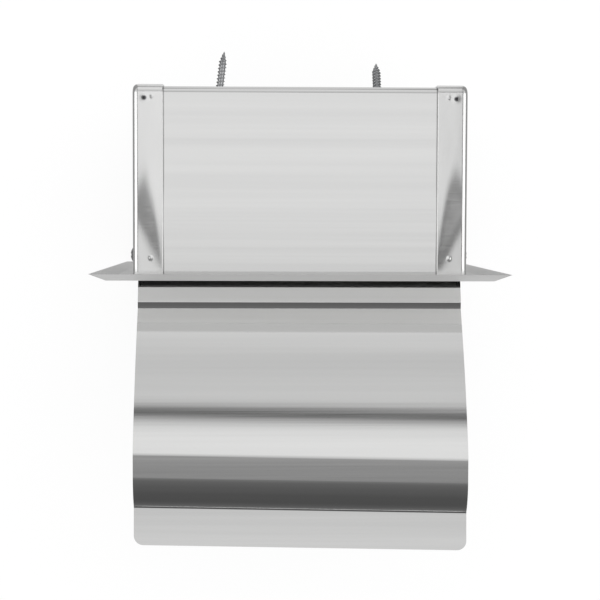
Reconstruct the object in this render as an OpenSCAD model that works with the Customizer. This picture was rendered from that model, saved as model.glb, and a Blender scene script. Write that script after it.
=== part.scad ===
// Recessed toilet paper holder with a hinged hood, all sizes in millimetres.
// Origin: middle of the wall opening, on the face of the wall.
// +X right, +Y into the wall, +Z up. The hood stands raised, as it stays by its friction washers.

/* [Recess box] */
// Outside width of the box, over the side plates
box_w = 127; // [115:1:150]
// Outside height of the box, over the flanges of the side plates
box_h = 127; // [118:1:150]
// Depth of the box behind the face of the wall
box_d = 71.5; // [64:0.5:90]
// Thickness of the sheet of the box and the trim
sheet_t = 0.8; // [0.6:0.1:1.2]
// Outside radius of the fold along the side plates
fold_r = 2; // [1.6:0.1:2.6]
// Outside radius of the back corners, seen from the side
corner_r = 4; // [3:0.5:8]
// Width of the side plates' flanges, over the fold
strip_w = 11.5; // [9:0.5:18]

/* [Spot welds] */
// Width of a spot-weld dent
dent_w = 3; // [2:0.1:4]
// Depth of a spot-weld dent
dent_deep = 0.35; // [0.2:0.05:0.4]
// Distance of the dents from the outside of the box
dent_in = 6.5; // [6:0.1:8]
// Distance of the front dents from the face of the wall
dent_front = 6; // [4:0.5:12]
// Distance of the rear dents from the back of the box
dent_rear = 5.8; // [5:0.1:12]
// Distance of the upper and lower dents on the back from the middle
dent_back = 38; // [20:1:50]

/* [Trim flange] */
// How far the trim reaches past the box on every side
trim_reach = 15.25; // [12:0.25:30]
// How far the face of the trim stands out from the wall
trim_out = 2.6; // [2:0.1:4]
// Width of the bevelled edge, seen from the front
bevel_w = 6; // [4:0.5:9]
// Radius of the trim's outer corners, seen from the front
trim_corner_r = 1.5; // [0.5:0.5:4]
// Radius that softens the fold between face and bevel
trim_fold_r = 1.6; // [1.4:0.2:3]

/* [Hood] */
// Thickness of the hood's sheet
hood_t = 0.8; // [0.6:0.1:1.2]
// Gap between an ear of the hood and its side plate
ear_gap = 0.7; // [0.5:0.1:1.2]
// Slope of the hinge band, upwards away from the wall, in degrees
band_slope = 18.2; // [10:0.2:22]
// Length of the hinge band in front of the pivot
band_len = 20.6; // [18:0.2:26]
// Reach of the band behind the round ends of the ears
band_extra = 0.5; // [0.3:0.1:1]
// Radius of the ridge at the end of the band
ridge_r = 1.2; // [0.9:0.1:2]
// Turn of the sheet over the ridge, in degrees
ridge_turn = 32; // [24:1:40]
// Flat stretch down into the groove
groove_len = 0.5; // [0.2:0.1:1]
// Radius at the bottom of the groove
groove_r = 2.6; // [1.6:0.1:4]
// Turn of the sheet through the groove, in degrees
groove_turn = 45.5; // [36:0.5:50]
// Length of the flat start of the panel, beyond the groove
panel_len = 4; // [3:0.5:8]
// Radius of the panel's long curve
brow_r = 230; // [200:5:260]
// Turn of the panel's long curve, in degrees
brow_turn = 12.5; // [10:0.5:15]
// Radius of the bend up to the crown
crown_r = 15; // [12:1:18]
// Turn of the sheet at the crown, in degrees
crown_turn = 19; // [16:1:22]
// Length of the flat crown
crown_len = 7.6; // [5:0.1:10]
// Radius of the tight lower curve
roll_r = 18; // [15:1:22]
// Turn of the tight lower curve, in degrees
roll_turn = 39; // [32:1:44]
// Radius of the crease above the lip
crease_r = 1.4; // [1:0.1:3]
// Turn of the sheet at the crease, in degrees
crease_turn = 41.5; // [32:0.5:46]
// Length of the finger lip
lip_len = 13.8; // [10:0.1:18]
// Turn of the sheet along the lip, upwards, in degrees
lip_turn = 3; // [1:0.5:6]
// Radius of the corners of the lip
lip_corner_r = 3.5; // [1:0.5:6]
// How far the rolled curves run out of square with the hinge, in degrees
roll_skew = 1.1; // [0:0.1:2]

/* [Hinge] */
// Distance of the pivot behind the face of the wall
pivot_in = 6.5; // [6:0.5:10]
// Depth of the pivot below the top of the box
pivot_drop = 16; // [14:0.5:22]
// Distance from the pivot to the middle of the band's sheet
ear_drop = 5; // [4.5:0.1:6]
// Radius of the round end of an ear
ear_r = 4.6; // [4:0.1:5.5]
// Length of an ear in front of the pivot
ear_len = 13; // [8:0.5:15]
// Diameter of the pivot screw's shank
pivot_d = 4; // [3:0.1:4.5]
// Radial clearance of the hood on the shank
pivot_gap = 0.06; // [0.03:0.01:0.09]
// Diameter of the pivot screw's head
pivot_head_d = 6.6; // [6:0.1:8]
// Height of the pivot screw's head
pivot_head_h = 2.1; // [1.6:0.1:3]
// Height of the lock nut
nut_h = 3.2; // [2.5:0.1:5]
// Width across the flats of the lock nut
nut_af = 7; // [6.5:0.5:8]
// Length of thread beyond the lock nut
thread_spare = 0.8; // [0.4:0.1:2]
// Diameter of a friction washer
washer_d = 8.8; // [7:0.2:9]
// Play at each face of a friction washer
washer_play = 0.05; // [0.02:0.01:0.1]

/* [Roller] */
// Distance of the roller's axis behind the face of the wall
roller_in = 14; // [13:0.5:24]
// Height of the roller's axis above the middle of the box
roller_up = -2; // [-8:0.5:8]
// Outside diameter of the sleeve
sleeve_d = 25.4; // [22:0.2:30]
// Wall of the sleeve and of the plunger
roller_wall = 1.6; // [1.2:0.1:2.2]
// Length of the sleeve, as a share of the space between the side plates
sleeve_share = 0.62; // [0.55:0.01:0.68]
// Radial clearance of the plunger in the sleeve
plunger_gap = 0.08; // [0.04:0.01:0.1]
// Length of plunger inside the sleeve
plunger_lap = 26; // [22:1:34]
// Length of the plunger's collar
collar_len = 4; // [3:0.5:8]
// Diameter of the end pins
pin_d = 7.6; // [6:0.1:9]
// Reach of an end pin past the outside of its side plate
pin_reach = 0.6; // [0.2:0.1:1.5]
// Radial clearance of an end pin in its seat
seat_gap = 0.3; // [0.1:0.05:0.6]
// Gap between the ends of the roller and the side plates
end_gap = 0.4; // [0.2:0.1:1]
// Mean diameter of the spring
spring_d = 15; // [12:0.5:17]
// Diameter of the spring's wire
wire_d = 1.1; // [0.8:0.1:1.4]
// Turns of the spring
spring_turns = 9; // [6:1:12]

/* [Wood screws] */
// Distance of the screw slots from the middle of the box
slot_x = 32; // [24:0.5:40]
// Height of the screw slots above the middle of the box
slot_z = 26; // [10:0.5:36]
// Width of a screw slot
slot_w = 4.6; // [4.4:0.1:6]
// Height of a screw slot, end to end
slot_h = 10; // [8:0.5:14]
// Length of a screw under its head
screw_len = 19; // [14:0.5:30]
// Diameter over the thread
screw_d = 3.5; // [3:0.1:3.8]
// Diameter of a screw's head
screw_head_d = 6.8; // [6:0.1:7.6]
// Height of a screw's head
screw_head_h = 2.3; // [1.8:0.1:3]
// Length of a screw's point
screw_tip = 4.5; // [3:0.5:6]
// Droop of the left screw in its slot, in degrees
left_droop = 5; // [0:1:20]
// Sideways lean of the left screw, in degrees
left_lean = 6.5; // [0:0.5:8]
// Droop of the right screw in its slot, in degrees
right_droop = 31; // [0:1:32]

/* [Hidden] */
$fn = 64;

// Half sizes and planes of the box
half_w = box_w/2;
half_h = box_h/2;
web_in = half_w - sheet_t;            // inner face of a side plate
wrap_top = half_h - sheet_t;          // outer face of the wrap sheet, under the flanges
wrap_back = box_d - sheet_t;
inside_top = wrap_top - sheet_t;
inside_back = wrap_back - sheet_t;
box_front = sheet_t - trim_out;       // the box butts against the back of the trim's face
wrap_play = 0.1;                      // between the wrap sheet and the folds of the side plates
wrap_w = box_w - 2*(fold_r + wrap_play);
dent_ball = (pow(dent_w/2, 2) + pow(dent_deep, 2))/(2*dent_deep);

// Trim
trim_half_w = half_w + trim_reach;
trim_half_h = half_h + trim_reach;
bevel_angle = atan(trim_out/bevel_w);
rim_w = sheet_t/sin(bevel_angle);     // ring that meets the wall

// Hood
hood_half = web_in - ear_gap;
pivot_z = half_h - pivot_drop;
band_back = ear_r + band_extra;
hood_path = [
    [0, band_len + band_back],
    [ridge_r, -ridge_turn],
    [0, groove_len],
    [groove_r, groove_turn],
    [0, panel_len],
    [brow_r, -brow_turn],
    [crown_r, -crown_turn],
    [0, crown_len],
    [roll_r, -roll_turn],
    [crease_r, crease_turn],
    [lip_len/(lip_turn*PI/180), lip_turn]];
PANEL = 4;                            // index of the panel's flat start in the path
ARC_STEP = 3;                         // degrees of bend per facet of the hood
hood_start = [-band_back*cos(band_slope) - ear_drop*sin(band_slope),
    -band_back*sin(band_slope) + ear_drop*cos(band_slope), band_slope];

// Hinge stack, from the outside of a side plate inwards
washer_t = ear_gap - 2*washer_play;
nut_face = hood_half - hood_t - washer_play;
shank_len = half_w - nut_face + nut_h + thread_spare;

// Roller, measured along X
roller_end = web_in - end_gap;
sleeve_end = -roller_end + sleeve_share*2*roller_end;
pin_tip = half_w + pin_reach;
plunger_d = sleeve_d - 2*roller_wall - 2*plunger_gap;
plunger_start = sleeve_end - plunger_lap;
spring_len = plunger_start + roller_end - roller_wall;

// Pose [x, y, heading] at the end of one stretch of the path: [0, length] is straight, [radius, turn] an arc
function step(pose, s) =
    s[0] == 0
    ? [pose[0] + s[1]*cos(pose[2]), pose[1] + s[1]*sin(pose[2]), pose[2]]
    : let (r = s[0]*sign(s[1]), a = pose[2], b = pose[2] + s[1])
      [pose[0] + r*(sin(b) - sin(a)), pose[1] - r*(cos(b) - cos(a)), b];
function pose_at(path, start, n) = n == 0 ? start : step(pose_at(path, start, n - 1), path[n - 1]);

// Part of a ring between two angles less than 180 degrees apart
module arc_band(r, from, to, t) {
    mid = (from + to)/2;
    reach = 2*(r + t)/cos((to - from)/4);
    intersection() {
        difference() {
            circle(r + t/2, $fn = 128);
            circle(r - t/2, $fn = 128);
        }
        polygon([[0, 0], reach*[cos(from), sin(from)], reach*[cos(mid), sin(mid)], reach*[cos(to), sin(to)]]);
    }
}

// Point off to the side of a pose
function beside(pose, off) = [pose[0] - off*sin(pose[2]), pose[1] + off*cos(pose[2])];

// Poses along a path: the start of every stretch, steps of a few degrees along every arc, and the end
function poses(path, start) = concat(
    [for (i = [0:len(path) - 1])
        let (from = pose_at(path, start, i), n = path[i][0] == 0 ? 1 : ceil(abs(path[i][1])/ARC_STEP))
        for (k = [0:n - 1])
            k == 0 ? from : step(from, [path[i][0], path[i][1]*k/n])],
    [pose_at(path, start, len(path))]);

// Solid through a row of rings of points, each ring with as many points as the next
module lofted(rings) {
    n = len(rings[0]);
    last = len(rings) - 1;
    walls = [for (k = [0:last - 1], j = [0:n - 1])
        let (next = (j + 1) % n)
        [k*n + j, (k + 1)*n + j, (k + 1)*n + next, k*n + next]];
    near_end = [for (j = [0:n - 1]) j];
    far_end = [for (j = [n - 1:-1:0]) last*n + j];
    polyhedron(points = [for (ring = rings) each ring], faces = concat(walls, [near_end, far_end]));
}

// Stands a drawing in the plane seen from the side: its x runs along +Y, its y along +Z, its height along +X
module side_view() {
    rotate([90, 0, 90])
        children();
}

// Section of a side plate at its edge: web, fold and flange, with the outside of the corner at corner_r
module pan_section() {
    square([corner_r - fold_r, sheet_t]);
    translate([corner_r - fold_r, fold_r])
        arc_band(fold_r - sheet_t/2, -90, 0, sheet_t);
    translate([corner_r - sheet_t, fold_r])
        square([sheet_t, strip_w - fold_r]);
}

// Spot-weld dents along the flanges, in the side view
module dents() {
    for (s = [-1, 1])
        for (y = [dent_front, box_d - dent_rear])
            translate([y, s*(half_h - dent_deep + dent_ball), dent_in])
                sphere(dent_ball, $fn = 48);
    for (z = [-dent_back, 0, dent_back])
        translate([box_d - dent_deep + dent_ball, z, dent_in])
            sphere(dent_ball, $fn = 48);
}

module side_pan() {
    edge_y = half_h - corner_r;
    edge_x = box_d - corner_r;
    color("gainsboro")
    difference() {
        union() {
            translate([box_front, -edge_y, 0])
                cube([edge_x - box_front, 2*edge_y, sheet_t]);
            for (s = [0, 1])
                mirror([0, s, 0]) {
                    translate([box_front, edge_y, 0])
                        rotate([90, 0, 90])
                            linear_extrude(edge_x - box_front)
                                pan_section();
                    translate([edge_x, edge_y, 0])
                        rotate_extrude(angle = 90)
                            pan_section();
                }
            translate([edge_x, edge_y, 0])
                rotate([90, 0, 0])
                    linear_extrude(2*edge_y)
                        pan_section();
        }
        dents();
        translate([pivot_in, pivot_z, -1])
            cylinder(d = pivot_d + 2*pivot_gap, h = sheet_t + 2);
        translate([roller_in, roller_up, -1])
            cylinder(d = pin_d + 2*seat_gap, h = sheet_t + 2);
    }
}

module left_side_plate() {
    translate([-half_w, 0, 0])
        side_view()
            side_pan();
}

module right_side_plate() {
    mirror([1, 0, 0])
        left_side_plate();
}

// Vertical slot through the back sheet, seen from the front
module screw_slot() {
    straight = slot_h - slot_w;
    rotate([-90, 0, 0])
        linear_extrude(4*sheet_t)
            union() {
                square([slot_w, straight], center = true);
                for (s = [-1, 1])
                    translate([0, s*straight/2])
                        circle(d = slot_w);
            }
}

module wrap_sheet() {
    edge_y = half_h - corner_r;
    edge_x = box_d - corner_r;
    mid_r = corner_r - 1.5*sheet_t;
    color("whitesmoke")
    difference() {
        translate([-wrap_w/2, 0, 0])
            side_view()
                linear_extrude(wrap_w) {
                    for (s = [0, 1])
                        mirror([0, s]) {
                            translate([box_front, inside_top])
                                square([edge_x - box_front, sheet_t]);
                            translate([edge_x, edge_y])
                                arc_band(mid_r, 0, 90, sheet_t);
                        }
                    translate([inside_back, -edge_y])
                        square([sheet_t, 2*edge_y]);
                }
        for (s = [-1, 1])
            translate([s*slot_x, inside_back - 1.5*sheet_t, slot_z])
                screw_slot();
    }
}

// Half outline of the trim's dished form, from the wall outwards
function trim_outline(half, face_y, r) =
    let (edge = half - bevel_w*face_y/trim_out,
         centre = [edge - r*tan(bevel_angle/2), face_y - r])
    concat([[half + bevel_w, -trim_out], [half, 0]],
        [for (i = [0:5]) let (a = 90 - bevel_angle + bevel_angle*i/5) centre + r*[cos(a), sin(a)]]);

// The outline drawn out along +Z, far enough for both directions
module dished_run(half, face_y, r) {
    side = trim_outline(half, face_y, r);
    far = 2*max(trim_half_w, trim_half_h);
    translate([0, 0, -far])
        linear_extrude(2*far)
            mirror([0, 1])
                polygon(concat(side, [for (i = [len(side) - 1:-1:0]) [-side[i][0], side[i][1]]]));
}

// Dished solid, mitred at the corners
module dished_block(shrink, face_y, r) {
    intersection() {
        dished_run(trim_half_w - shrink, face_y, r);
        rotate([0, 90, 0])
            dished_run(trim_half_h - shrink, face_y, r);
    }
}

module trim_flange() {
    round_w = trim_half_w - trim_corner_r;
    round_h = trim_half_h - trim_corner_r;
    color("silver")
    difference() {
        intersection() {
            dished_block(0, trim_out, trim_fold_r);
            rotate([90, 0, 0])
                linear_extrude(2*trim_out) {
                    square([2*trim_half_w, 2*round_h], center = true);
                    square([2*round_w, 2*trim_half_h], center = true);
                    for (sx = [-1, 1], sz = [-1, 1])
                        translate([sx*round_w, sz*round_h])
                            circle(trim_corner_r);
                }
        }
        dished_block(rim_w, trim_out - sheet_t, trim_fold_r - sheet_t);
        translate([-web_in, -2*trim_out, -inside_top])
            cube([2*web_in, 4*trim_out, 2*inside_top]);
    }
}

// The hood's sheet has the pivot at its origin and +Y running out from the wall.
// Beyond the panel its bends run out of square by the skew, within the plane of the panel.
panel_pose = pose_at(hood_path, hood_start, PANEL);
panel_run = [cos(panel_pose[2]), sin(panel_pose[2])];
function hood_corner(pose, side, off, inset) =
    let (square_on = beside(pose, off),
         along = (square_on - [panel_pose[0], panel_pose[1]])*panel_run,
         shift = along > panel_len/2 ? along*(1/cos(roll_skew) - 1) + side*hood_half*tan(roll_skew) : 0,
         at = square_on + shift*panel_run)
    [side*(hood_half - inset), at[0], at[1]];
function hood_ring(pose, inset) = [
    hood_corner(pose, -1, hood_t/2, inset),
    hood_corner(pose, 1, hood_t/2, inset),
    hood_corner(pose, 1, -hood_t/2, inset),
    hood_corner(pose, -1, -hood_t/2, inset)];

module hood_sheet() {
    to_lip = [for (i = [0:len(hood_path) - 2]) hood_path[i]];
    lip = hood_path[len(to_lip)];
    lip_start = pose_at(hood_path, hood_start, len(to_lip));
    // Rows round the corners of the lip draw in from the sides
    lip_rings = [for (a = [0:15:90])
        hood_ring(step(lip_start, [lip[0], lip[1]*(1 - lip_corner_r/lip_len*(1 - sin(a)))]), lip_corner_r*(1 - cos(a)))];
    lofted(concat([for (pose = poses(to_lip, hood_start)) hood_ring(pose, 0)], lip_rings));
}

// Ear of the hood, in the plane of the side plates: its lower edge leaves the round end at a tangent
module hood_ear() {
    tip = [ear_len, ear_drop - 2*hood_t];
    leaves = atan2(tip[1], tip[0]) - acos(ear_r/norm(tip));
    rotate(band_slope)
        difference() {
            union() {
                circle(ear_r);
                translate([-ear_r, 0])
                    square([ear_r, ear_drop]);
                polygon([[0, 0], ear_r*[cos(leaves), sin(leaves)], tip, [ear_len, ear_drop], [0, ear_drop]]);
            }
            circle(d = pivot_d + 2*pivot_gap);
        }
}

module hood() {
    color("lightgray")
    translate([0, pivot_in, pivot_z])
        mirror([0, 1, 0]) {
            hood_sheet();
            for (s = [-1, 1])
                translate([s*(hood_half - hood_t/2) - hood_t/2, 0, 0])
                    side_view()
                        linear_extrude(hood_t)
                            hood_ear();
        }
}

// Round head with a cross recess, its flat underside at the origin
module round_head(d, h) {
    rim = h/3;
    rise = h - rim;
    ball = (pow(d/2, 2) + rise*rise)/(2*rise);
    recess_l = 0.55*d;
    recess_w = 0.14*d;
    recess_h = h/2;
    difference() {
        rotate_extrude() {
            square([d/2, rim]);
            translate([0, rim])
                intersection() {
                    square([d/2, rise]);
                    translate([0, rise - ball])
                        circle(ball, $fn = 128);
                }
        }
        for (a = [0, 90])
            rotate(a)
                translate([0, 0, h])
                    cube([recess_l, recess_w, 2*recess_h], center = true);
    }
}

// Pivot screw on the right side, its head against the side plate
module pivot_screw() {
    translate([half_w, pivot_in, pivot_z])
        rotate([0, 90, 0]) {
            round_head(pivot_head_d, pivot_head_h);
            translate([0, 0, -shank_len])
                cylinder(d = pivot_d, h = shank_len);
        }
}

module right_pivot_screw() {
    color("lightslategray")
        pivot_screw();
}

module left_pivot_screw() {
    color("lightslategray")
        mirror([1, 0, 0])
            pivot_screw();
}

// Washer between the side plate and the ear, on the right side
module friction_washer() {
    translate([hood_half + washer_play, pivot_in, pivot_z])
        rotate([0, 90, 0])
            difference() {
                cylinder(d = washer_d, h = washer_t);
                translate([0, 0, -1])
                    cylinder(d = pivot_d + 2*pivot_gap, h = washer_t + 2);
            }
}

module right_friction_washer() {
    color("ivory")
        friction_washer();
}

module left_friction_washer() {
    color("ivory")
        mirror([1, 0, 0])
            friction_washer();
}

// Lock nut inside the ear, on the right side
module lock_nut() {
    across_corners = nut_af/cos(30);
    worn_d = 0.93*across_corners;       // the corners are turned down towards the inner face
    thread_fit = 0.02;
    translate([nut_face, pivot_in, pivot_z])
        rotate([0, -90, 0])
            difference() {
                intersection() {
                    cylinder(d = across_corners, h = nut_h, $fn = 6);
                    cylinder(d1 = across_corners + 2*nut_h*tan(20), d2 = worn_d, h = nut_h);
                }
                translate([0, 0, -1])
                    cylinder(d = pivot_d + 2*thread_fit, h = nut_h + 2);
            }
}

module right_lock_nut() {
    color("lightslategray")
        lock_nut();
}

module left_lock_nut() {
    color("lightslategray")
        mirror([1, 0, 0])
            lock_nut();
}

// Places a piece turned about Z on the roller's axis, its height along +X
module on_roller_axis() {
    translate([0, roller_in, roller_up])
        rotate([0, 90, 0])
            children();
}

// End pin with a rounded nose, standing on the end of the roller at height h
module end_pin(h) {
    nose = 1;
    cylinder(d = pin_d, h = h - nose);
    translate([0, 0, h - nose])
        cylinder(d1 = pin_d, d2 = pin_d - 2*nose, h = nose);
}

module roller_sleeve() {
    long = sleeve_end + roller_end;
    color("white")
    on_roller_axis()
        translate([0, 0, -roller_end]) {
            difference() {
                cylinder(d = sleeve_d, h = long);
                translate([0, 0, roller_wall])
                    cylinder(d = sleeve_d - 2*roller_wall, h = long);
            }
            mirror([0, 0, 1])
                end_pin(pin_tip - roller_end);
        }
}

module roller_plunger() {
    long = roller_end - plunger_start;
    color("white")
    on_roller_axis()
        difference() {
            union() {
                translate([0, 0, plunger_start])
                    cylinder(d = plunger_d, h = long);
                translate([0, 0, roller_end - collar_len])
                    cylinder(d = sleeve_d, h = collar_len);
                translate([0, 0, roller_end])
                    end_pin(pin_tip - roller_end);
            }
            translate([0, 0, plunger_start + roller_wall])
                cylinder(d = plunger_d - 2*roller_wall, h = long - 2*roller_wall);
        }
}

// Ring of points of the wire at one place along the spring
SIDES = 6;
RINGS_PER_TURN = 16;
function wire_ring(k, count) =
    let (a = 360*k/RINGS_PER_TURN,
         z = wire_d/2 + (spring_len - wire_d)*k/count)
    [for (j = [0:SIDES - 1]) let (b = 360*j/SIDES, r = spring_d/2 + wire_d/2*cos(b))
        [r*cos(a), r*sin(a), z + wire_d/2*sin(b)]];

module roller_spring() {
    count = spring_turns*RINGS_PER_TURN;
    color("dimgray")
    on_roller_axis()
        translate([0, 0, -roller_end + roller_wall])
            lofted([for (k = [0:count]) wire_ring(k, count)]);
}

// Wood screw along +Y, the underside of its head at the origin
module wood_screw() {
    rotate([-90, 0, 0]) {
        cylinder(d = screw_d, h = screw_len - screw_tip);
        translate([0, 0, screw_len - screw_tip])
            cylinder(d1 = screw_d, d2 = screw_d/10, h = screw_tip);
        mirror([0, 0, 1])
            round_head(screw_head_d, screw_head_h);
    }
}

// A screw left loose in its slot: the rim of its head leans on the sheet, its shank lies on the slot's end
module loose_screw(x, droop, lean) {
    tilt = acos(cos(droop)*cos(lean));
    play = 0.1;
    back_off = screw_head_d/2*sin(tilt) + play;
    lie = slot_z - slot_h/2 + screw_d/2/cos(droop) + sheet_t/2*tan(droop) + play;
    reach = back_off + sheet_t/2;
    translate([x - reach*tan(lean), inside_back - back_off, lie + reach*tan(droop)])
        rotate([-droop, 0, -lean])
            wood_screw();
}

module left_wood_screw() {
    color("darkgray")
        loose_screw(-slot_x, left_droop, left_lean);
}

module right_wood_screw() {
    color("darkgray")
        loose_screw(slot_x, right_droop, 0);
}

wrap_sheet();
left_side_plate();
right_side_plate();
trim_flange();
hood();
left_pivot_screw();
right_pivot_screw();
left_friction_washer();
right_friction_washer();
left_lock_nut();
right_lock_nut();
roller_sleeve();
roller_plunger();
roller_spring();
left_wood_screw();
right_wood_screw();
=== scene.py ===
import math

import bmesh
import bpy
from mathutils import Matrix, Vector


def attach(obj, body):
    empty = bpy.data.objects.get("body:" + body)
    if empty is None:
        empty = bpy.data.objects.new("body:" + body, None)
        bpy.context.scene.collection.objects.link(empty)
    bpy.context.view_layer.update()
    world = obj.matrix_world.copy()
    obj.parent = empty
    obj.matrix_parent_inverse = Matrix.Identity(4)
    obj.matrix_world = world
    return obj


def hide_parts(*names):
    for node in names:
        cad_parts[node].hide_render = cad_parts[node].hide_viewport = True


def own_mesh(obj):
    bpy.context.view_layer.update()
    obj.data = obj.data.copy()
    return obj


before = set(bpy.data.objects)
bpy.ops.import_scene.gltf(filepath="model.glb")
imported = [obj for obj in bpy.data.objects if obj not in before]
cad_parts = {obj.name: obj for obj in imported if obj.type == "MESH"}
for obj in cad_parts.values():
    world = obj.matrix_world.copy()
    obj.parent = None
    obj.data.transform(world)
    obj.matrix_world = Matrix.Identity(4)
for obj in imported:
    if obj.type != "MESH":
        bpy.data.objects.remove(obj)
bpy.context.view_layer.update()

# Sizes are millimetres until a mesh is finished, and the frame's axes are +X right, +Y into the wall, +Z up
MM = 0.001

# Recess box
BOX_W = 127.0
BOX_H = 127.0
BOX_D = 71.5
SHEET = 0.8
FOLD_R = 2.0
CORNER_R = 4.0
STRIP_W = 11.5
WRAP_PLAY = 0.1
HALF_W = BOX_W / 2
HALF_H = BOX_H / 2

# Trim flange
TRIM_W = 157.5
TRIM_OUT = 2.6
BEVEL_W = 6.0
TRIM_CORNER_R = 1.5
TRIM_FOLD_R = 1.6
BOX_FRONT = SHEET - TRIM_OUT

# Spot welds
WELD_IN = 6.5
DARK_SPOT_IN = 4.5             # rear weld's dent, with its painted dark reflection, from the side and from the rear
DARK_SPOT_BACK = 5.4

# Flanges of the side plates: how they spring off the sheet between the front weld and the rear one
FLANGE_TILT = math.tan(math.radians(3.7))
FRONT_HELD = 3.0          # held flat by the front weld up to here
FRONT_SLANT = 2.0         # how much sooner it springs, for each millimetre past the weld
FRONT_EASE = 13.0
REAR_HELD = 46.0          # flat again from here, in line with the crest
REAR_BOW = 0.7
REAR_EASE = 20.0
CREST_IN = 4.5

# Hood: the section is a path of stretches, [0, length] straight and [radius, turn in degrees] bent
EAR_GAP = 0.7
HOOD_HALF = HALF_W - SHEET - EAR_GAP
PIVOT_Y = 6.5
PIVOT_DOWN = 16.0
PIVOT_Z = HALF_H - PIVOT_DOWN
PIVOT_D = 4.0
PIVOT_GAP = 0.06
EAR_R = 4.6
EAR_DROP = 5.0
EAR_LEN = 13.0
BAND_SLOPE = 18.2
BAND_LEN = 20.4
BAND_EXTRA = 0.5
BAND_BACK = EAR_R + BAND_EXTRA
ROLL_SKEW = 1.1
LIP_CORNER_R = 3.5
LIP_LEN = 13.8
LIP_TURN = 3.0
HINGE_SIDE = [
    [0, BAND_LEN + BAND_BACK],
    [0.12, -29.0],        # ridge
    [22.8, 6.0],          # hollow floor of the groove
    [0.6, 36.85]]         # bend from the groove up to the panel
PANEL_LEN = 4.3
ROLLED_SIDE = [
    [223.7, -12.85],      # brow
    [15.0, -19.0],        # crown
    [0, 7.95],            # flat behind the crown
    [18.0, -39.0],        # roll
    [1.4, 41.5],          # crease
    [LIP_LEN / math.radians(LIP_TURN), LIP_TURN]]

# Roller
ROLLER_Y = 14.0
ROLLER_Z = -2.0
SLEEVE_D = 25.4
ROLLER_WALL = 1.6
ROLLER_SOFT_R = 0.8
END_GAP = 0.4
ROLLER_END = HALF_W - SHEET - END_GAP
SLEEVE_SHARE = 0.62       # of the roller's length
SLEEVE_END = ROLLER_END * (2 * SLEEVE_SHARE - 1)
SLEEVE_MOUTH_R = 0.3
PLUNGER_GAP = 0.08
PLUNGER_D = SLEEVE_D - 2 * ROLLER_WALL - 2 * PLUNGER_GAP
PLUNGER_IN_SLEEVE = 26.0
PLUNGER_START = SLEEVE_END - PLUNGER_IN_SLEEVE
SPRING_EASE = 0.05        # keeps the drawn end face off the end coil of the spring
COLLAR_LEN = 4.0
COLLAR_EDGE_R = 0.4
PIN_D = 7.6
PIN_NOSE_R = 1.0
PIN_GAP = 0.3
PIN_HOLE_D = PIN_D + 2 * PIN_GAP
PIN_PROUD = 0.6
PIN_TIP = HALF_W + PIN_PROUD
HOLE_FLAT = 1.0           # ring of flat faces round a hole in the web, which keeps its shading even

# Wood screws and the slots that hold them
SLOT_X = 32.0
SLOT_Z = 26.0
SLOT_W = 4.6
SLOT_H = 10.0
SCREW_LEN = 19.0
SCREW_D = 3.5
SCREW_HEAD_D = 6.8
SCREW_HEAD_H = 2.3
SCREW_TIP = 4.5
SCREW_CORE = 0.36 * SCREW_D
SCREW_PLAY = 0.1
THREAD_PITCH = 1.41
THREAD_FOOT = 0.28        # half of the ridge's foot, in pitches
THREAD_SUNK = 0.15        # how deep the foot lies in the core
THREAD_START = 1.2
THREAD_STOP = 0.4         # from the point
LEFT_DROOP = 5.0
LEFT_LEAN = 6.5
RIGHT_DROOP = 31.0


def srgb(code):
    """Linear colour of an sRGB hex value."""
    parts = [int(code[i:i + 2], 16) / 255 for i in (1, 3, 5)]
    return [p / 12.92 if p <= 0.04045 else ((p + 0.055) / 1.055) ** 2.4 for p in parts] + [1.0]


def add_node(tree, kind, sockets=(), **settings):
    """Adds a node. A socket is given a value, or another node's output to link from."""
    new = tree.nodes.new(kind)
    for name, value in settings.items():
        setattr(new, name, value)
    for name, value in dict(sockets).items():
        socket = new.inputs[name]
        if isinstance(value, bpy.types.NodeSocket):
            tree.links.new(value, socket)
        else:
            socket.default_value = value
    return new


# Camera: placed where the photograph's straight lines and the holder's sizes put it
EYE = Vector((-13.7, 21.5, 632.3))
PITCH = 3.197
YAW = 1.38
ROLL = 0.184
FOCAL_PX = 1497.5
FRAME_PX = 600
SENSOR = 36.0


def make_camera():
    data = bpy.data.cameras.new("camera")
    camera = bpy.data.objects.new("camera", data)
    bpy.context.scene.collection.objects.link(camera)
    data.sensor_width = SENSOR
    data.sensor_fit = "HORIZONTAL"
    data.lens = SENSOR * FOCAL_PX / FRAME_PX
    data.clip_start = 0.01
    data.clip_end = 20.0
    pitch, yaw, roll = (math.radians(a) for a in (PITCH, YAW, ROLL))
    ahead = Vector((math.sin(yaw), -math.sin(pitch), -1.0)).normalized()
    right = ahead.cross(Vector((0, 1, 0))).normalized()
    up = right.cross(ahead)
    side = math.cos(roll) * right + math.sin(roll) * up
    top = math.cos(roll) * up - math.sin(roll) * right
    turn = Matrix((side, top, -ahead)).transposed()
    camera.matrix_world = Matrix.Translation(EYE * MM) @ turn.to_4x4()
    bpy.context.scene.camera = camera


make_camera()


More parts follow.
